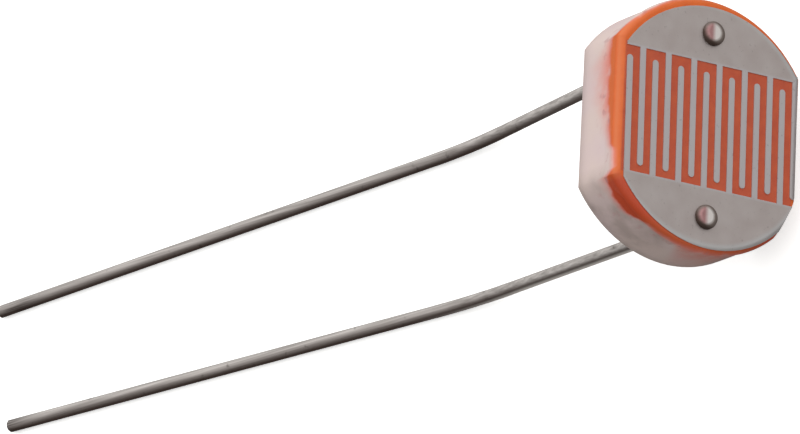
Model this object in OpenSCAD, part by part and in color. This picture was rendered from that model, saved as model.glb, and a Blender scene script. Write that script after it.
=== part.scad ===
// Photoresistor: a flat-sided ceramic disc with a light-sensitive layer on its face, two interleaved
// comb electrodes that leave a winding track between them, and two headed wire leads.
// It lies as it comes to rest: on the back edge of one flat and on the ends of its leads.

/* [Ceramic blank] */
// Diameter of the round part of the blank
blank_d = 12; // [11:0.1:16]
// Width across the two flats
across_flats = 10; // [8.5:0.1:10.8]
// Thickness of the blank
blank_t = 3.2; // [2:0.1:5]
// Radius of the moulded edge round the face
front_edge_r = 0.28; // [0.1:0.02:0.5]
// Radius of the moulded edge round the back
back_edge_r = 0.34; // [0.06:0.02:0.6]
// Depth of the broken corner, measured in from where the flat meets the round
chip_depth = 0.35; // [0.1:0.05:0.8]
// Turn of the broken corner away from the flat
chip_turn = 27; // [15:1:32]

/* [Light-sensitive layer] */
// Thickness of the layer on the face
layer_t = 0.06; // [0.04:0.01:0.2]
// Thickness to which the layer thins out where it ends on the side
layer_hem_t = 0.012; // [0.01:0.002:0.03]
// How far below the face the layer runs down the flats
layer_wrap = 0.9; // [0.7:0.05:1.8]
// How far below the rounded edge the layer runs down the round sides
round_wrap = 0.06; // [0.04:0.02:0.1]
// Slope at which the layer's hem comes up from a flat to the round side
hem_slope = 40; // [30:1:70]

/* [Comb electrodes] */
// Thickness of the metal film
metal_t = 0.04; // [0.03:0.01:0.12]
// Width of one finger
finger_w = 0.32; // [0.2:0.01:0.6]
// Width of the bare track between two fingers
track_w = 0.39; // [0.2:0.01:0.6]
// Bare gap between the finger tips of the first comb and the second pad
tip_gap_a = 0.34; // [0.2:0.02:1]
// Bare gap between the finger tips of the second comb and the first pad
tip_gap_b = 0.46; // [0.2:0.02:1]
// Distance from a lead's axis to the inner edge of its pad
pad_inset = 1.42; // [0.9:0.02:2.2]
// Bare rim left outside the round edge of the pads
pad_rim = 0.24; // [0.1:0.02:0.8]
// How far the round edge of the pads sits off centre, towards the second lead
pad_drop = 0.09; // [0:0.01:0.2]
// Least bare rim left between the outermost finger and a flat
comb_rim = 0.2; // [0.1:0.02:0.8]
// How far the printed combs sit off centre, towards the flat that the part rests on
comb_shift = 0.14; // [0:0.02:0.3]
// How far the printed combs are turned on the face
comb_turn = 0.85; // [0:0.05:3]

/* [Leads] */
// Diameter of the lead wire
lead_d = 0.6; // [0.4:0.05:0.8]
// Distance between the two leads at the face
lead_pitch = 8.8; // [7.6:0.1:9.6]
// Clearance round a lead in its hole
hole_clear = 0.05; // [0.02:0.01:0.15]
// Diameter of a lead's head
head_d = 1.15; // [1:0.05:1.6]
// Height of a lead's head
head_h = 0.3; // [0.26:0.02:0.6]
// Radius of the edge of a lead's head
head_edge_r = 0.22; // [0.04:0.02:0.24]
// Straight length of a lead behind the blank, up to its first bend
stub = 1.2; // [0.8:0.1:3]
// Radius of the first bend, to the axis of the wire
stub_bend_r = 3; // [1.5:0.5:6]
// Radius of the bend where a lead comes down to the surface, to the axis of the wire
floor_bend_r = 14; // [3:0.5:20]
// Extra diameter of the wire where it is bent
bend_swell = 0.01; // [0.006:0.002:0.03]
// Distance behind the blank at which the first lead comes down
reach_a = 12.2; // [8:0.1:16]
// Distance behind the blank at which the second lead comes down
reach_b = 11.5; // [8:0.1:16]
// Sideways distance at which the first lead comes down
stray_a = -2.35; // [-3:0.05:3]
// Sideways distance at which the second lead comes down
stray_b = -1.15; // [-3:0.05:3]
// Length of the first lead along the surface
run_a = 25.8; // [15:0.1:40]
// Length of the second lead along the surface
run_b = 25.2; // [15:0.1:40]
// Worn edge round the cut end of a lead
tip_edge = 0.08; // [0.02:0.02:0.16]
// Heading of the first lead along the surface
heading_a = -13.3; // [-30:0.1:10]
// Heading of the second lead along the surface
heading_b = -9.4; // [-30:0.1:10]

/* [Pose] */
// Angle at which the face looks up from the surface
face_tilt = 30; // [24:1:45]

/* [Hidden] */
$fn = 64;
blank_r = blank_d / 2;
flat_y = across_flats / 2;
wire_r = lead_d / 2;
hole_d = lead_d + 2 * hole_clear;
seat_z = layer_t + metal_t;
margin = 1;

// Layer: where its hem lies on the round sides, and how far the hem runs sideways for its height
hem_z = -front_edge_r - round_wrap;
hem_run = 1 / tan(hem_slope);

// Combs: fingers alternate between the two pads, as many as fit between the flats and on the pads' inner edges
finger_pitch = finger_w + track_w;
pad_edge = lead_pitch / 2 - pad_inset;
pad_r = blank_r - pad_rim;
pad_half_w = sqrt(pad_r * pad_r - (pad_edge + pad_drop) * (pad_edge + pad_drop));
comb_room = 2 * min(flat_y - comb_rim, pad_half_w);
finger_count = 2 * floor((comb_room + track_w) / (2 * finger_pitch));
comb_half_w = (finger_count * finger_pitch - track_w) / 2;

// Broken corner: distance of its face from the axis of the disc
corner_x = sqrt(blank_r * blank_r - flat_y * flat_y);
chip_face = flat_y * cos(chip_turn) + corner_x * sin(chip_turn) - chip_depth;

// Pose: the disc leans back about the X axis until its back edge and the leads carry it
lean = 90 - face_tilt;
lift = (flat_y - back_edge_r) * sin(lean) + (blank_t - back_edge_r) * cos(lean) + back_edge_r;
back_y = blank_t * sin(lean);
face_y = (flat_y - front_edge_r) * cos(lean) - front_edge_r * sin(lean) + front_edge_r + seat_z;

// Leads: where each one leaves its bend behind the blank, comes down and ends
stub_y = (blank_t + stub) * sin(lean);
stub_z = lift - (blank_t + stub) * cos(lean);
stub_dir = [0, sin(lean), -cos(lean)];
lie_z = wire_r + bend_swell / 2;
down_a = [lead_pitch / 2 + stray_a, back_y + reach_a, lie_z];
down_b = [-lead_pitch / 2 + stray_b, back_y + reach_b, lie_z];
along_a = [sin(heading_a), cos(heading_a), 0];
along_b = [sin(heading_b), cos(heading_b), 0];
tip_a = down_a + run_a * along_a;
tip_b = down_b + run_b * along_b;
tip_r = wire_r - tip_edge;

// The origin is under the middle of the whole part
side_x = blank_r + layer_t;
cut_a = tip_a - tip_edge * along_a;
cut_b = tip_b - tip_edge * along_b;
right_x = max(side_x, cut_a.x + wire_r * along_a.y, cut_b.x + wire_r * along_b.y);
left_x = min(-side_x, cut_a.x - wire_r * along_a.y, cut_b.x - wire_r * along_b.y);
end_y = max(tip_a.y + tip_r * abs(along_a.x), tip_b.y + tip_r * abs(along_b.x));
origin = [(left_x + right_x) / 2, (end_y - face_y) / 2, 0];

function unit(v) = v / norm(v);

// Half of the blank's section: from the axis out to its side, with both edges rounded
module section(half, top, bottom, front_r, back_r) {
    union() {
        translate([0, bottom + back_r])
            square([half - front_r, top - bottom - back_r]);
        translate([0, bottom])
            square([half - back_r, top - bottom - front_r]);
        translate([0, bottom + back_r])
            square([half, top - bottom - front_r - back_r]);
        translate([half - front_r, top - front_r])
            circle(front_r);
        if (back_r > 0)
            translate([half - back_r, bottom + back_r])
                circle(back_r);
    }
}

// Half of the layer's outer section: level on the face, round at the edge, thinning out down the side
module layer_section(half) {
    union() {
        translate([0, -front_edge_r])
            square([half - front_edge_r, front_edge_r + layer_t]);
        intersection() {
            translate([half - front_edge_r, -front_edge_r])
                circle(front_edge_r + layer_t);
            translate([half - front_edge_r, -front_edge_r])
                square(front_edge_r + layer_t);
        }
        polygon([
            [0, -front_edge_r],
            [0, -layer_wrap],
            [half + layer_hem_t, -layer_wrap],
            [half + layer_t, -front_edge_r]
        ]);
    }
}

// A round disc with two flats: one section is turned about the axis, the other runs along the flats
module round_with_flats() {
    intersection() {
        rotate_extrude()
            children(0);
        rotate([90, 0, 90])
            linear_extrude(height = blank_d + 2 * margin, center = true)
                union() {
                    children(1);
                    mirror([1, 0])
                        children(1);
                }
    }
}

// The blank, or the form of a film that stands off it by a given amount
module blank_form(grow, bottom, back_r) {
    round_with_flats() {
        section(blank_r + grow, grow, bottom, front_edge_r + grow, back_r);
        section(flat_y + grow, grow, bottom, front_edge_r + grow, back_r);
    }
}

// What is bare of the layer: the round sides below its hem, up to where the hem comes down to the flats
module bare_round_sides() {
    intersection() {
        rotate_extrude()
            polygon([
                [blank_r - margin, hem_z],
                [blank_r + layer_hem_t, hem_z],
                [blank_r + layer_hem_t + margin, hem_z + margin],
                [blank_r + layer_hem_t + margin, -layer_wrap - margin],
                [blank_r - margin, -layer_wrap - margin]
            ]);
        rotate([90, 0, 90])
            linear_extrude(height = blank_d + 4 * margin, center = true)
                polygon([
                    [-flat_y - margin * hem_run, -layer_wrap - margin],
                    [flat_y + margin * hem_run, -layer_wrap - margin],
                    [flat_y - layer_wrap * hem_run, 0],
                    [-flat_y + layer_wrap * hem_run, 0]
                ]);
    }
}

// What is missing at the broken corner
module broken_corner() {
    rotate([0, 0, -chip_turn])
        translate([-blank_r, -chip_face - blank_r, -blank_t - margin])
            cube([blank_d, blank_r, blank_t + 2 * margin]);
}

module lead_hole(side) {
    translate([side * lead_pitch / 2, 0, -blank_t - margin])
        cylinder(d = hole_d, h = blank_t + 2 * margin);
}

// Puts what is built with the face up at z = 0 into the resting pose
module lay() {
    translate([-origin.x, -origin.y, lift])
        rotate([lean, 0, 0])
            children();
}

module ceramic_blank() {
    color("#dcc9c4")
        lay()
            difference() {
                blank_form(0, -blank_t, back_edge_r);
                broken_corner();
                lead_hole(1);
                lead_hole(-1);
            }
}

module photo_layer() {
    color("#c8562a")
        lay()
            difference() {
                round_with_flats() {
                    layer_section(blank_r);
                    layer_section(flat_y);
                }
                blank_form(0, -blank_t, back_edge_r);
                bare_round_sides();
                broken_corner();
                lead_hole(1);
                lead_hole(-1);
            }
}

// Outline of the comb on the +X side: its pad, and every second finger with a round tip
module comb_outline(side, first, tip_gap) {
    intersection() {
        union() {
            difference() {
                translate([-side * pad_drop, 0])
                    circle(pad_r);
                translate([-2 * blank_r + pad_edge, -blank_r])
                    square(2 * blank_r);
            }
            for (i = [first : 2 : finger_count - 1]) {
                y = comb_half_w - finger_w / 2 - i * finger_pitch;
                tip = -pad_edge + tip_gap + finger_w / 2;
                translate([tip, y - finger_w / 2])
                    square([pad_edge - tip + finger_w, finger_w]);
                translate([tip, y])
                    circle(d = finger_w);
            }
        }
        translate([-blank_r, -comb_half_w])
            square([2 * blank_r, 2 * comb_half_w]);
    }
}

// Metal film that follows the face and its rounded edge, in the outline of one comb
module electrode(side, first, tip_gap) {
    lay()
        difference() {
            intersection() {
                difference() {
                    blank_form(seat_z, -layer_wrap, 0);
                    blank_form(layer_t, -layer_wrap - margin, 0);
                }
                translate([0, -comb_shift, -front_edge_r])
                    rotate([0, 0, comb_turn])
                        linear_extrude(height = front_edge_r + margin)
                            mirror([side < 0 ? 1 : 0, 0])
                                comb_outline(side, first, tip_gap);
            }
            broken_corner();
            lead_hole(side);
        }
}

module electrode_a() {
    color("#a9a6a6")
        electrode(1, 1, tip_gap_a);
}

module electrode_b() {
    color("#a3a0a1")
        electrode(-1, 0, tip_gap_b);
}

// Lays what is drawn along the Z axis from one point towards another
module along_line(from, to) {
    run = to - from;
    translate(from)
        rotate([0, acos(run.z / norm(run)), atan2(run.y, run.x)])
            children();
}

module wire(from, to) {
    along_line(from, to)
        cylinder(d = lead_d, h = norm(to - from));
}

// The last stretch of a lead, with a worn edge round its cut end
module wire_end(from, to) {
    length = norm(to - from);
    along_line(from, to)
        rotate_extrude()
            polygon([
                [0, 0],
                [wire_r, 0],
                [wire_r, length - tip_edge],
                [tip_r, length],
                [0, length]
            ]);
}

// A bend of the wire at the corner between two directions
module bend(corner, before, after, radius) {
    turn = acos(before * after);
    axis = unit(cross(before, after));
    inward = cross(axis, before);
    centre = corner - before * radius * tan(turn / 2) + inward * radius;
    multmatrix([
        [-inward.x, before.x, axis.x, centre.x],
        [-inward.y, before.y, axis.y, centre.y],
        [-inward.z, before.z, axis.z, centre.z],
        [0, 0, 0, 1]
    ])
        rotate_extrude(angle = turn)
            translate([radius, 0])
                circle(d = lead_d + bend_swell);
}

// Distance from a corner of the wire's axis to where its bend begins
function bend_reach(before, after, radius) = radius * tan(acos(before * after) / 2);

// One lead: head on the face, shank through the blank, slope down to the surface, end along it
module lead(side, down, along, tip) {
    corner = [side * lead_pitch / 2, stub_y, stub_z] - origin;
    land = down - origin;
    slope = unit(land - corner);
    // Straight stretches run a little way into the bends
    lap = bend_swell * 5;
    stub_cut = bend_reach(stub_dir, slope, stub_bend_r) - lap;
    land_cut = bend_reach(slope, along, floor_bend_r) - lap;
    lay()
        translate([side * lead_pitch / 2, 0, 0]) {
            translate([0, 0, seat_z])
                rotate_extrude()
                    union() {
                        square([head_d / 2 - head_edge_r, head_h]);
                        square([head_d / 2, head_h - head_edge_r]);
                        intersection() {
                            translate([head_d / 2 - head_edge_r, head_h - head_edge_r])
                                circle(head_edge_r);
                            square([head_d / 2, head_h]);
                        }
                    }
            translate([0, 0, -blank_t - stub + stub_cut])
                cylinder(d = lead_d, h = blank_t + stub - stub_cut + seat_z + head_h / 2);
        }
    bend(corner, stub_dir, slope, stub_bend_r);
    wire(corner + slope * stub_cut, land - slope * land_cut);
    bend(land, slope, along, floor_bend_r);
    wire_end(land + along * land_cut, tip - origin);
}

module lead_a() {
    color("#b9b6b2")
        lead(1, down_a, along_a, tip_a);
}

module lead_b() {
    color("#b9b6b2")
        lead(-1, down_b, along_b, tip_b);
}

ceramic_blank();
photo_layer();
electrode_a();
electrode_b();
lead_a();
lead_b();
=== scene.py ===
"""Looks of a photoresistor: a flat-sided ceramic disc with an orange light-sensitive layer on its face,
two comb electrodes that leave a winding track between them, and two headed tinned wires.
The part lies on a pale floor, on the back edge of one flat and on the ends of its wires."""

import math

import bpy
from mathutils import Euler, Matrix, Vector


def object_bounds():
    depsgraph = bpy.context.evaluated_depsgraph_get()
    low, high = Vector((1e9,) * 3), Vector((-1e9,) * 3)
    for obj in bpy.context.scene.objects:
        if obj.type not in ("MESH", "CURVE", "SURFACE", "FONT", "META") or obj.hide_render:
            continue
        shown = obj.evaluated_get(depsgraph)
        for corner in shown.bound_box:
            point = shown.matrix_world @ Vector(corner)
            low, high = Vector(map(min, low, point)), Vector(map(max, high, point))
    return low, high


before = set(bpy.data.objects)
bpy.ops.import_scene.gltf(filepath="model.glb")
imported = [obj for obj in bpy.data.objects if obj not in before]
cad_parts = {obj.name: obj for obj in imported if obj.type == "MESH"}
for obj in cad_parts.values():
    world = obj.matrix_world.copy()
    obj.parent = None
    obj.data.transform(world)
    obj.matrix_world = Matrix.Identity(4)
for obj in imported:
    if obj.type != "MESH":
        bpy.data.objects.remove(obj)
cad_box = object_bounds()

MM = 0.001

# The disc's own axes as it lies: UP towards the first wire, ACROSS towards the raised flat, OUT of the face
FACE_TILT = math.radians(30)
UP = Vector((1, 0, 0))
ACROSS = Vector((0, math.sin(FACE_TILT), math.cos(FACE_TILT)))
OUT = Vector((0, -math.cos(FACE_TILT), math.sin(FACE_TILT)))

# The photograph's frame, and where and how large the middle of the face is in it
IMAGE_W, IMAGE_H = 800, 434
FACE_PIXEL = Vector((708.0, 125.8))
FACE_PIXELS_PER_MM = 21.85

# Where the camera stands, seen from the face: turned to its left, lowered and rolled
VIEW_DISTANCE = 400 * MM
VIEW_TURN = math.radians(32.29)
VIEW_DROP = math.radians(16.72)
VIEW_ROLL = math.radians(2.94)
SENSOR_W = 36

# The soft light comes from above and from beyond the disc's upper edge; the other side of the room is dark.
# How bright the two sides are, and the cosines of the turn from the light between which they meet
LIGHT_FROM = Vector((0.65, -0.1, 0.75)).normalized()
ROOM_LIGHT = 1.72
ROOM_DARK = 0.18
LIGHT_COSINE = 0.7
DARK_COSINE = -0.25

# Side of the square floor, in metres
FLOOR_SIZE = 4

# Sizes of the drawn patterns in mm. Grit, specks and streaks are drawn coarser than the real ones, so that
# they show at the photograph's scale
CLAY_CLOUD = 2.4
SCUFF = 1.1
BLOT = 0.7
FLECK = 0.5
MOTTLE = 0.6
GRIT = 0.12
FILM_CLOUD = 0.9
SPECK = 0.16
STREAK_WIDTH = 0.12
STREAK_LENGTH = 4
NICK = 0.5

# Depth of the drawn relief, and the radius to which the ceramic's edges look worn, in mm
DISC_RELIEF = 0.03
FILM_RELIEF = 0.01
WIRE_RELIEF = 0.02
WORN_EDGE = 1.2

# How far the layer runs down the side by the turn in degrees from UP towards ACROSS, and how far its pink
# stain runs on below that, both in mm: the layer runs far down the flats and the corner below the raised one
# and hardly down the rest, and the stain runs furthest at the bottom
HEM = (
    (0, 0.1, 0.2), (22, 0.06, 0.15), (32, 0, 0.12), (42, 0.04, 0.15), (50, 0.16, 0.2), (55.5, 0.34, 0.4),
    (57, 0.65, 0.9), (66, 0.74, 2.1), (84, 0.76, 1.8), (100, 0.54, 1), (110, 0.36, 0.7), (113, 0.08, 0.6),
    (121.5, 0.06, 0.5), (123.5, 0.62, 1), (127, 0.78, 0.9), (132, 0.9, 0.7), (140, 0.9, 0.45),
    (146, 0.6, 0.3), (150, 0.22, 0.3), (168, 0.1, 0.6), (178, 0.08, 3.6), (196, 0.12, 4.6), (214, 0.2, 0.6),
    (236, 0.3, 0.4), (238, 0.8, 0.5), (300, 0.8, 0.5), (304, 0.1, 0.4),
)

# Size of the hem's lobes and half the width of its soft edge, in mm, and the share by which its depth strays
HEM_LOBE = 0.7
HEM_SOFT = 0.13
HEM_RAGGED = 0.28

# From this height above the ceramic's face the layer covers everything, in mm
FULL_COVER = 0.03

# Flecks of the layer on the ceramic fade from the first to the second of these heights over the hem, in mm
FLECKS_FADE = -0.3
FLECKS_END = -1.3

# A painted highlight makes the layer paler over the crest of the rounded rim, and less so down the side: the
# crest's height above the ceramic's face, half its width, half the width of its palest part, the heights
# between which the rim turns into the side, all in mm, and how pale the side is by comparison
CREST = -0.08
CREST_WIDE = 0.14
CREST_PALE = 0.03
RIM_ENDS = -0.32
SIDE_BEGINS = -0.42
SIDE_PALE = 0.45

# Places along UP in mm on the disc's lower half: where grey scuffs, which also serve as painted shade, begin
# on the ceramic, are full, fade and end, and where the layer is painted darker red as shade and then duller
SCUFF_SHADE_BEGINS = -2.6
SCUFF_SHADE_FULL = -4.2
SCUFF_SHADE_FADES = -5.6
SCUFF_SHADE_ENDS = -5.9
RED_BEGINS = -3.1
RED_FULL = -3.6
DULL_BEGINS = -4.8
DULL_FULL = -5.5

# The printed combs: inner and round edges of the pads and outer edge of the fingers, in mm from the middle,
# the soft widths of the track's colour, of the pads' colour and of the painted highlight along their round
# edge, and the combs' turn on the face
PAD_EDGE = 2.98
PAD_RADIUS = 5.7
COMB_EDGE = 4.7
TRACK_SOFT = 0.1
PAD_SOFT = 0.15
PAD_HIGHLIGHT = 0.18
COMB_TURN = math.radians(0.85)

# The heads stand on the film this far above the ceramic, each this far from the middle of the face, in mm;
# the painted highlight on their tops has this radius, its edge is soft for this far to each side, and it lies
# this far towards the raised flat; its pink blush begins and is full at the last two places along ACROSS
HEAD_FOOT = 0.1
HEAD_PLACE = 4.4
HEAD_HIGHLIGHT = 0.39
HEAD_HIGHLIGHT_SOFT = 0.07
HEAD_HIGHLIGHT_ASIDE = 0.12
BLUSH_BEGINS = 0.02
BLUSH_FULL = 0.24

# Heading of the wires' ends on the floor, along which their drawing marks run, where the longer wire ends
# along Y, and how far before that the dark smears begin and are full, in metres
WIRE_HEADING = math.radians(11)
WIRE_END = cad_box[1][1]
SMEAR_BEGINS = 3 * MM
SMEAR_FULL = 1.2 * MM

# Places along OUT in mm between which the wires change towards the disc: the painted shade gets fainter, it
# draws back from the light, and a painted reflection makes the underside of the second wire bright
FAINTER = {1: -14.5, 2: -11.5}
SHADE_RECEDES = {1: -16, 2: -10}
BRIGHTER = {1: -18, 2: -12}

# A colour Mix node mixes from socket 6 to socket 7. A Map Range node takes socket 0 from the range in sockets
# 1 and 2 to the range in sockets 3 and 4; a low end that isn't given is 0 and a high end is 1
FROM, TO = 6, 7

# Nearly all of a noise lies in this range
NOISE_RANGE = {1: 0.3, 2: 0.7}

# Thin clear lacquer over the layer and the film
LACQUER = {"Coat Weight": 0.2, "Coat Roughness": 0.25}


def reach(node, direction):
    """Lowest and highest place of a node along a direction."""
    places = [v.co.dot(direction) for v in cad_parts[node].data.vertices]
    return min(places), max(places)


def middle(node, direction):
    """Middle of a node along a direction."""
    return sum(reach(node, direction)) / 2


# The middle of the ceramic's face
FACE = (
    UP * middle("ceramic_blank", UP)
    + ACROSS * middle("ceramic_blank", ACROSS)
    + OUT * reach("ceramic_blank", OUT)[1]
)


def linear(code):
    """A colour given as an sRGB hex code, in linear light."""
    parts = [int(code[i:i + 2], 16) / 255 for i in (1, 3, 5)]
    light = [c / 12.92 if c <= 0.04045 else ((c + 0.055) / 1.055) ** 2.4 for c in parts]
    return (*light, 1)


def add(tree, kind, links=None, **settings):
    """Adds one shader node, sets its properties, and sets or links its inputs.
    A node given for an input stands for its first output in use."""
    node = tree.nodes.new("ShaderNode" + kind)
    for name, value in settings.items():
        setattr(node, name, value)
    for socket, value in (links or {}).items():
        if isinstance(value, bpy.types.Node):
            value = next(output for output in value.outputs if output.enabled)
        if isinstance(value, bpy.types.NodeSocket):
            tree.links.new(value, node.inputs[socket])
        else:
            node.inputs[socket].default_value = value
    return node


def set_stops(ramp, stops):
    """Gives a ramp its stops, each a place from 0 to 1 and a colour."""
    points = ramp.color_ramp.elements
    points.remove(points[1])
    points[0].position, points[0].color = stops[0]
    for place, colour in stops[1:]:
        points.new(place).color = colour


def new_material(name):
    """An empty material and its node tree."""
    material = bpy.data.materials.new(name)
    material.use_nodes = True
    material.node_tree.nodes.clear()
    return material, material.node_tree


def disc_place(tree):
    """Where a point is on the disc, in mm along UP, ACROSS and OUT, with 0 in the middle of the face."""
    turn = Euler((FACE_TILT - math.pi / 2, 0, 0))
    shift = -(turn.to_matrix() @ FACE) / MM
    place = add(tree, "TexCoord").outputs["Object"]
    size = (1 / MM,) * 3
    return add(tree, "Mapping", {0: place, "Location": shift, "Rotation": turn, "Scale": size})


def hem_height(tree, place):
    """How far a point lies above the layer's ragged hem, in mm, with the ceramic bare below 0,
    and how far the stain runs on below the hem."""
    axes = add(tree, "SeparateXYZ", {0: place})
    angle = add(tree, "Math", {0: axes.outputs["Y"], 1: axes.outputs["X"]}, operation="ARCTAN2")
    turns = add(tree, "Math", {0: angle, 1: 1 / math.tau}, operation="MULTIPLY")
    turn = add(tree, "Math", {0: turns}, operation="FRACT")
    ramp = add(tree, "ValToRGB", {0: turn})
    set_stops(ramp, [(degrees / 360, (depth, stain, 0, 1)) for degrees, depth, stain in HEM])
    hem, stain, _ = add(tree, "SeparateColor", {0: ramp}).outputs
    lobes = add(tree, "TexNoise", {"Vector": place, "Scale": 1 / HEM_LOBE, "Detail": 4, "Roughness": 0.6})
    stray = add(tree, "MapRange", {0: lobes, 3: 1 - HEM_RAGGED, 4: 1 + HEM_RAGGED})
    height = add(tree, "Math", {0: hem, 1: stray, 2: axes.outputs["Z"]}, operation="MULTIPLY_ADD")
    return height, stain


def ceramic_colour(tree, place, height, stain):
    """Off-white fired ceramic with soft warm and cool clouds, grey scuffs that also serve as painted shade on
    the lower side of the disc, and pink stain and a few flecks from the layer below its hem."""
    axes = add(tree, "SeparateXYZ", {0: place})
    clouds = add(tree, "TexNoise", {"Vector": place, "Scale": 1 / CLAY_CLOUD, "Detail": 3})
    cloud = add(tree, "MapRange", {0: clouds, 1: 0.35, 2: 0.65})
    clay = add(tree, "Mix", {0: cloud, FROM: linear("#d9c4c2"), TO: linear("#dcc8c0")}, data_type="RGBA")
    scuffs = add(tree, "TexNoise", {"Vector": place, "Scale": 1 / SCUFF, "Detail": 5})
    scuff = add(tree, "MapRange", {0: scuffs, 1: 0.4, 2: 0.65, 3: 0.35})
    # Grey on the lower side, patched by the scuffs: partly scuffs, partly painted shade
    fading = add(tree, "MapRange", {0: axes.outputs["X"], 1: SCUFF_SHADE_ENDS, 2: SCUFF_SHADE_FADES, 4: scuff})
    scuffs_and_shade = add(tree, "MapRange", {0: axes.outputs["X"], 1: SCUFF_SHADE_BEGINS, 2: SCUFF_SHADE_FULL, 4: fading})
    clay = add(tree, "Mix", {0: scuffs_and_shade, FROM: clay, TO: linear("#b5a39d")}, data_type="RGBA")
    share = add(tree, "Math", {0: height, 1: stain}, operation="DIVIDE")
    fringe = add(tree, "MapRange", {0: share, 1: -1, 2: 0})
    fade = add(tree, "Math", {0: fringe, 1: 2}, operation="POWER")
    blots = add(tree, "TexNoise", {"Vector": place, "Scale": 1 / BLOT, "Detail": 3})
    blot = add(tree, "MapRange", {0: blots, 1: 0.2, 2: 0.5, 3: 0.4})
    stained = add(tree, "Math", {0: fade, 1: blot}, operation="MULTIPLY")
    pink = add(tree, "Mix", {0: stained, FROM: clay, TO: linear("#df7c6c")}, data_type="RGBA")
    flecks = add(tree, "TexNoise", {"Vector": place, "Scale": 1 / FLECK, "Detail": 3})
    fleck = add(tree, "MapRange", {0: flecks, 1: 0.58, 2: 0.7, 4: 0.7})
    spot = add(tree, "MapRange", {0: height, 1: FLECKS_END, 2: FLECKS_FADE, 4: fleck})
    return add(tree, "Mix", {0: spot, FROM: pink, TO: linear("#b98383")}, data_type="RGBA")


def layer_colour(tree, place):
    """Brick orange between the combs, clear orange round the rim and down the side, paler with a painted
    highlight over the rim's crest and less so down the side, painted darker red as shade on the lower side,
    all faintly mottled."""
    axes = add(tree, "SeparateXYZ", {0: place})
    mottle = add(tree, "TexNoise", {"Vector": place, "Scale": 1 / MOTTLE, "Detail": 4, "Roughness": 0.6})
    tone = add(tree, "MapRange", {0: mottle, **NOISE_RANGE})
    brick = add(tree, "Mix", {0: tone, FROM: linear("#b44727"), TO: linear("#c0522b")}, data_type="RGBA")
    orange = add(tree, "Mix", {0: tone, FROM: linear("#d45a0c"), TO: linear("#de6518")}, data_type="RGBA")
    # Painted highlight: paler over the rim's crest, less so down the side
    over_crest = add(tree, "Math", {0: axes.outputs["Z"], 1: CREST}, operation="SUBTRACT")
    off_crest = add(tree, "Math", {0: over_crest}, operation="ABSOLUTE")
    on_crest = add(tree, "MapRange", {0: off_crest, 1: CREST_WIDE, 2: CREST_PALE})
    pale = {3: on_crest, 4: SIDE_PALE}
    crest_highlight = add(tree, "MapRange", {0: axes.outputs["Z"], 1: RIM_ENDS, 2: SIDE_BEGINS, **pale})
    orange = add(tree, "Mix", {0: crest_highlight, FROM: orange, TO: linear("#d66a2e")}, data_type="RGBA")
    # Painted shade: darker red on the disc's lower side, duller at its lowest
    low = add(tree, "MapRange", {0: axes.outputs["X"], 1: RED_BEGINS, 2: RED_FULL})
    lowest = add(tree, "MapRange", {0: axes.outputs["X"], 1: DULL_BEGINS, 2: DULL_FULL})
    red = add(tree, "Mix", {0: lowest, FROM: linear("#bd4014"), TO: linear("#bc5022")}, data_type="RGBA")
    rim = add(tree, "Mix", {0: low, FROM: orange, TO: red}, data_type="RGBA")
    aside = add(tree, "Math", {0: axes.outputs["Y"]}, operation="ABSOLUTE")
    combs = add(tree, "MapRange", {0: aside, 1: COMB_EDGE + TRACK_SOFT, 2: COMB_EDGE})
    towards_pad = add(tree, "Math", {0: axes.outputs["X"]}, operation="ABSOLUTE")
    under_pad = PAD_EDGE + TRACK_SOFT
    tracks = add(tree, "MapRange", {0: towards_pad, 1: under_pad + TRACK_SOFT, 2: under_pad, 4: combs})
    return add(tree, "Mix", {0: tracks, FROM: rim, TO: brick}, data_type="RGBA")


def coated_side(tree):
    """Colour of the disc, bare or covered, its relief, which is fine grit and a step at the hem,
    and its roughness."""
    place = disc_place(tree)
    height, stain = hem_height(tree, place)
    level = add(tree, "SeparateXYZ", {0: place}).outputs["Z"]
    on_face = add(tree, "MapRange", {0: level, 1: 0, 2: FULL_COVER})
    soft_edge = {1: -HEM_SOFT, 2: HEM_SOFT, 3: on_face}
    covered = add(tree, "MapRange", {0: height, **soft_edge}, interpolation_type="SMOOTHSTEP")
    bare_tint = ceramic_colour(tree, place, height, stain)
    layer_tint = layer_colour(tree, place)
    tint = add(tree, "Mix", {0: covered, FROM: bare_tint, TO: layer_tint}, data_type="RGBA")
    grit = add(tree, "TexNoise", {"Vector": place, "Scale": 1 / GRIT, "Detail": 3})
    relief = add(tree, "Math", {0: grit, 1: 0.3, 2: covered}, operation="MULTIPLY_ADD")
    roughness = add(tree, "MapRange", {0: grit, **NOISE_RANGE, 3: 0.52, 4: 0.64})
    return tint, relief, roughness


def unglazed_steatite():
    """Pressed and fired ceramic without a glaze: off-white, matt, softly clouded, with corners worn round."""
    material, tree = new_material("unglazed_steatite")
    tint, relief, roughness = coated_side(tree)
    worn = add(tree, "Bevel", {"Radius": WORN_EDGE * MM}, samples=8)
    depth = DISC_RELIEF * MM
    bump = add(tree, "Bump", {"Height": relief, "Normal": worn, "Strength": 0.25, "Distance": depth})
    shader = add(tree, "BsdfPrincipled", {"Base Color": tint, "Roughness": roughness, "Normal": bump})
    add(tree, "OutputMaterial", {0: shader})
    return material


def sintered_sulphide():
    """Light-sensitive powder printed and sintered on the ceramic: strong orange under thin clear lacquer."""
    material, tree = new_material("sintered_sulphide")
    tint, relief, roughness = coated_side(tree)
    bump = add(tree, "Bump", {"Height": relief, "Strength": 0.25, "Distance": DISC_RELIEF * MM})
    shader = add(tree, "BsdfPrincipled", {
        "Base Color": tint, "Roughness": roughness, "Normal": bump, **LACQUER,
    })
    add(tree, "OutputMaterial", {0: shader})
    return material


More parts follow.
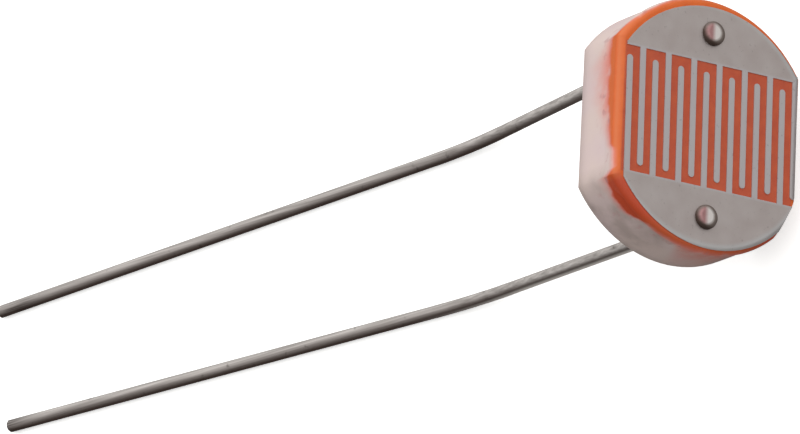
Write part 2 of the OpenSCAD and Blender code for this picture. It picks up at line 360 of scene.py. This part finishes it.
def evaporated_metal():
    """Metal film laid through a mask and lacquered: satin grey with faint specks, warmer and clouded on the
    pads, with a painted highlight along their round edges."""
    material, tree = new_material("evaporated_metal")
    place = add(tree, "Mapping", {0: disc_place(tree), "Rotation": (0, 0, -COMB_TURN)})
    axes = add(tree, "SeparateXYZ", {0: place})
    towards_pad = add(tree, "Math", {0: axes.outputs["X"]}, operation="ABSOLUTE")
    soft_edge = {1: PAD_EDGE, 2: PAD_EDGE + PAD_SOFT}
    on_pad = add(tree, "MapRange", {0: towards_pad, **soft_edge}, interpolation_type="SMOOTHSTEP")
    clouds = add(tree, "TexNoise", {"Vector": place, "Scale": 1 / FILM_CLOUD, "Detail": 4})
    cloud = add(tree, "MapRange", {0: clouds, **NOISE_RANGE})
    pad = add(tree, "Mix", {0: cloud, FROM: linear("#bbb1ae"), TO: linear("#c3bbb8")}, data_type="RGBA")
    tint = add(tree, "Mix", {0: on_pad, FROM: linear("#c6c1c2"), TO: pad}, data_type="RGBA")
    radius = add(tree, "VectorMath", {0: place}, operation="LENGTH").outputs["Value"]
    # Painted highlight along the pads' round edges
    edge_highlight = add(tree, "MapRange", {0: radius, 1: PAD_RADIUS - PAD_HIGHLIGHT, 2: PAD_RADIUS, 4: 0.45})
    tint = add(tree, "Mix", {0: edge_highlight, FROM: tint, TO: linear("#ccd2d4")}, data_type="RGBA")
    specks = add(tree, "TexNoise", {"Vector": place, "Scale": 1 / SPECK, "Detail": 1})
    speck = add(tree, "MapRange", {0: specks, 1: 0.68, 2: 0.78, 4: 0.25})
    tint = add(tree, "Mix", {0: speck, FROM: tint, TO: linear("#6d6663")}, data_type="RGBA")
    roughness = add(tree, "MapRange", {0: clouds, **NOISE_RANGE, 3: 0.46, 4: 0.54})
    grain = add(tree, "TexNoise", {"Vector": place, "Scale": 1 / GRIT, "Detail": 3})
    bump = add(tree, "Bump", {"Height": grain, "Strength": 0.15, "Distance": FILM_RELIEF * MM})
    shader = add(tree, "BsdfPrincipled", {
        "Base Color": tint, "Metallic": 1.0, "Roughness": roughness, "Normal": bump, **LACQUER,
    })
    add(tree, "OutputMaterial", {0: shader})
    return material


def wire_colour(tree, spot, axes, normal, streaks):
    """Dull tin, streaked along the wire, with brown painted shade where it faces away from the light. Next to
    the disc the painted shade is fainter, and a painted reflection makes the second wire bright underneath.
    The cut ends have dark smears."""
    streak = add(tree, "MapRange", {0: streaks, **NOISE_RANGE})
    tin = add(tree, "Mix", {0: streak, FROM: linear("#aca7a3"), TO: linear("#d0cbc7")}, data_type="RGBA")
    second = add(tree, "Math", {0: axes.outputs["X"], 1: 0}, operation="LESS_THAN")
    second_near = add(tree, "MapRange", {0: axes.outputs["Z"], **BRIGHTER, 4: second})

    # How far the surface must turn from the light, as a cosine, for the painted shade to begin and to be full
    shade_begins_at = add(tree, "MapRange", {0: axes.outputs["Z"], **SHADE_RECEDES, 3: -1, 4: -0.45})
    shade_full_at = add(tree, "MapRange", {0: second_near, 3: 0.3, 4: 0.02})
    shade_most = add(tree, "MapRange", {0: axes.outputs["Z"], **FAINTER, 3: 1, 4: 0.75})
    away = add(tree, "VectorMath", {0: normal, 1: -LIGHT_FROM}, operation="DOT_PRODUCT").outputs["Value"]
    turned_away_shade = add(tree, "MapRange", {0: away, 1: shade_begins_at, 2: shade_full_at, 4: shade_most})
    # The painted shade: brown mixed into the tin on the side turned from the light
    tint = add(tree, "Mix", {0: turned_away_shade, FROM: tin, TO: linear("#665751")}, data_type="RGBA")

    # Dark nicks all over, smears at the ends, and a painted reflection on the underside of the second wire
    nicks = add(tree, "TexNoise", {"Vector": spot, "Scale": 1 / (NICK * MM), "Detail": 2})
    nick = add(tree, "MapRange", {0: nicks, 1: 0.66, 2: 0.74, 4: 0.4})
    tint = add(tree, "Mix", {0: nick, FROM: tint, TO: linear("#3a302d")}, data_type="RGBA")
    far = add(tree, "SeparateXYZ", {0: spot}).outputs["Y"]
    end = add(tree, "MapRange", {0: far, 1: WIRE_END - SMEAR_BEGINS, 2: WIRE_END - SMEAR_FULL, 4: 0.75})
    smear = add(tree, "MapRange", {0: streaks, 1: 0.45, 2: 0.58, 4: end})
    tint = add(tree, "Mix", {0: smear, FROM: tint, TO: linear("#3f3531")}, data_type="RGBA")
    # Painted reflection: the second wire's underside is made bright next to the disc
    under = add(tree, "MapRange", {0: away, 1: 0.08, 2: 0.5, 4: second_near})
    return add(tree, "Mix", {0: under, FROM: tint, TO: linear("#f6f2ee")}, data_type="RGBA")


def head_colour(tree, axes, normal):
    """A painted highlight on the top with a pink blush, in a ring painted darker as shade and darkest at its
    lower left.
    """
    blush = add(tree, "MapRange", {0: axes.outputs["Y"], 1: BLUSH_BEGINS, 2: BLUSH_FULL, 4: 0.85})
    top = add(tree, "Mix", {0: blush, FROM: linear("#e2ddda"), TO: linear("#ae7a7b")}, data_type="RGBA")
    # Painted shade: the ring is darker than the top, and darkest where it faces the lower left
    lower_left = ACROSS * 0.6 - UP * 0.8
    low = add(tree, "VectorMath", {0: normal, 1: lower_left}, operation="DOT_PRODUCT").outputs["Value"]
    lower_left_shade = add(tree, "MapRange", {0: low, 1: 0.15, 2: 0.65})
    shaded_ring = add(tree, "Mix", {0: lower_left_shade, FROM: linear("#8a7f79"), TO: linear("#62544d")}, data_type="RGBA")
    # Painted highlight: a bright spot on each head's top, a little towards the raised flat
    from_middle = add(tree, "Math", {0: axes.outputs["X"]}, operation="ABSOLUTE")
    place = add(tree, "CombineXYZ", {0: from_middle, 1: axes.outputs["Y"]})
    highlight_spot = (HEAD_PLACE, HEAD_HIGHLIGHT_ASIDE, 0)
    offset = add(tree, "VectorMath", {0: place, 1: highlight_spot}, operation="DISTANCE").outputs["Value"]
    soft_edge = {1: HEAD_HIGHLIGHT + HEAD_HIGHLIGHT_SOFT, 2: HEAD_HIGHLIGHT - HEAD_HIGHLIGHT_SOFT}
    bright = add(tree, "MapRange", {0: offset, **soft_edge})
    return add(tree, "Mix", {0: bright, FROM: shaded_ring, TO: top}, data_type="RGBA")


def tinned_wire():
    """Drawn and tinned wire with an upset head."""
    material, tree = new_material("tinned_wire")
    spot = add(tree, "TexCoord").outputs["Object"]
    turned = add(tree, "Mapping", {0: spot, "Rotation": (0, 0, -WIRE_HEADING)})
    across = 1 / (STREAK_WIDTH * MM)
    along = 1 / (STREAK_LENGTH * MM)
    drawn = add(tree, "Mapping", {0: turned, "Scale": (across, along, across)})
    streaks = add(tree, "TexNoise", {"Vector": drawn, "Scale": 1, "Detail": 3})
    axes = add(tree, "SeparateXYZ", {0: disc_place(tree)})
    normal = add(tree, "NewGeometry").outputs["Normal"]
    body = wire_colour(tree, spot, axes, normal, streaks)
    head = head_colour(tree, axes, normal)
    on_head = add(tree, "Math", {0: axes.outputs["Z"], 1: HEAD_FOOT}, operation="GREATER_THAN")
    tint = add(tree, "Mix", {0: on_head, FROM: body, TO: head}, data_type="RGBA")
    roughness = add(tree, "MapRange", {0: streaks, **NOISE_RANGE, 3: 0.76, 4: 0.64})
    bump = add(tree, "Bump", {"Height": streaks, "Strength": 0.3, "Distance": WIRE_RELIEF * MM})
    shader = add(tree, "BsdfPrincipled", {
        "Base Color": tint, "Metallic": 1.0, "Roughness": roughness, "Normal": bump,
    })
    add(tree, "OutputMaterial", {0: shader})
    return material


def dress(material, *nodes):
    """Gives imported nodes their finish."""
    for node in nodes:
        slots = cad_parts[node].data.materials
        slots.clear()
        slots.append(material)


dress(unglazed_steatite(), "ceramic_blank")
dress(sintered_sulphide(), "photo_layer")
dress(evaporated_metal(), "electrode_a", "electrode_b")
dress(tinned_wire(), "lead_a", "lead_b")


def make_camera():
    """The photograph's view: the camera stands off the face, and the face keeps its pixel and its scale."""
    sideways = math.sin(VIEW_TURN) * math.cos(VIEW_DROP)
    outward = math.cos(VIEW_TURN) * math.cos(VIEW_DROP)
    towards = ACROSS * sideways - UP * math.sin(VIEW_DROP) + OUT * outward
    right = UP.cross(towards).normalized()
    up = towards.cross(right)
    image_right = right * math.cos(VIEW_ROLL) + up * math.sin(VIEW_ROLL)
    image_up = towards.cross(image_right)
    offset = (FACE_PIXEL - Vector((IMAGE_W / 2, IMAGE_H / 2))) / FACE_PIXELS_PER_MM * MM
    data = bpy.data.cameras.new("camera")
    data.sensor_width = SENSOR_W
    data.lens = SENSOR_W * FACE_PIXELS_PER_MM * VIEW_DISTANCE / MM / IMAGE_W
    camera = bpy.data.objects.new("camera", data)
    camera.rotation_euler = Matrix((image_right, image_up, towards)).transposed().to_euler()
    camera.location = FACE + towards * VIEW_DISTANCE - image_right * offset.x + image_up * offset.y
    bpy.context.scene.collection.objects.link(camera)
    bpy.context.scene.camera = camera


def make_floor():
    """A plain pale floor that is bright to the eye and throws little light back up at the part."""
    bpy.ops.mesh.primitive_plane_add(size=FLOOR_SIZE)
    floor = bpy.context.object
    floor.name = "floor"
    material, tree = new_material("pale_floor")
    white = linear("#fbfbfa")
    seen = add(tree, "BsdfPrincipled", {
        "Base Color": white, "Roughness": 0.8, "Emission Color": white, "Emission Strength": 0.5,
    })
    dim = add(tree, "BsdfDiffuse", {0: linear("#979491")})
    eye = add(tree, "LightPath").outputs["Is Camera Ray"]
    shader = add(tree, "MixShader", {0: eye, 1: dim, 2: seen})
    add(tree, "OutputMaterial", {0: shader})
    floor.data.materials.append(material)


def make_light():
    """Soft light from all of one side of the room, falling off to the dark side; the backdrop is pale."""
    world = bpy.data.worlds.new("studio")
    world.use_nodes = True
    bpy.context.scene.world = world
    tree = world.node_tree
    tree.nodes.clear()
    direction = add(tree, "TexCoord").outputs["Generated"]
    facing = add(tree, "VectorMath", {0: direction, 1: LIGHT_FROM}, operation="DOT_PRODUCT").outputs["Value"]
    falloff = {1: DARK_COSINE, 2: LIGHT_COSINE, 3: ROOM_DARK, 4: ROOM_LIGHT}
    bright = add(tree, "MapRange", {0: facing, **falloff}, interpolation_type="SMOOTHSTEP")
    eye = add(tree, "LightPath").outputs["Is Camera Ray"]
    strength = add(tree, "Mix", {0: eye, 2: bright, 3: 1.0})
    background = add(tree, "Background", {"Strength": strength})
    add(tree, "OutputWorld", {0: background})


make_camera()
make_floor()
make_light()
bpy.context.scene.view_settings.view_transform = "Standard"
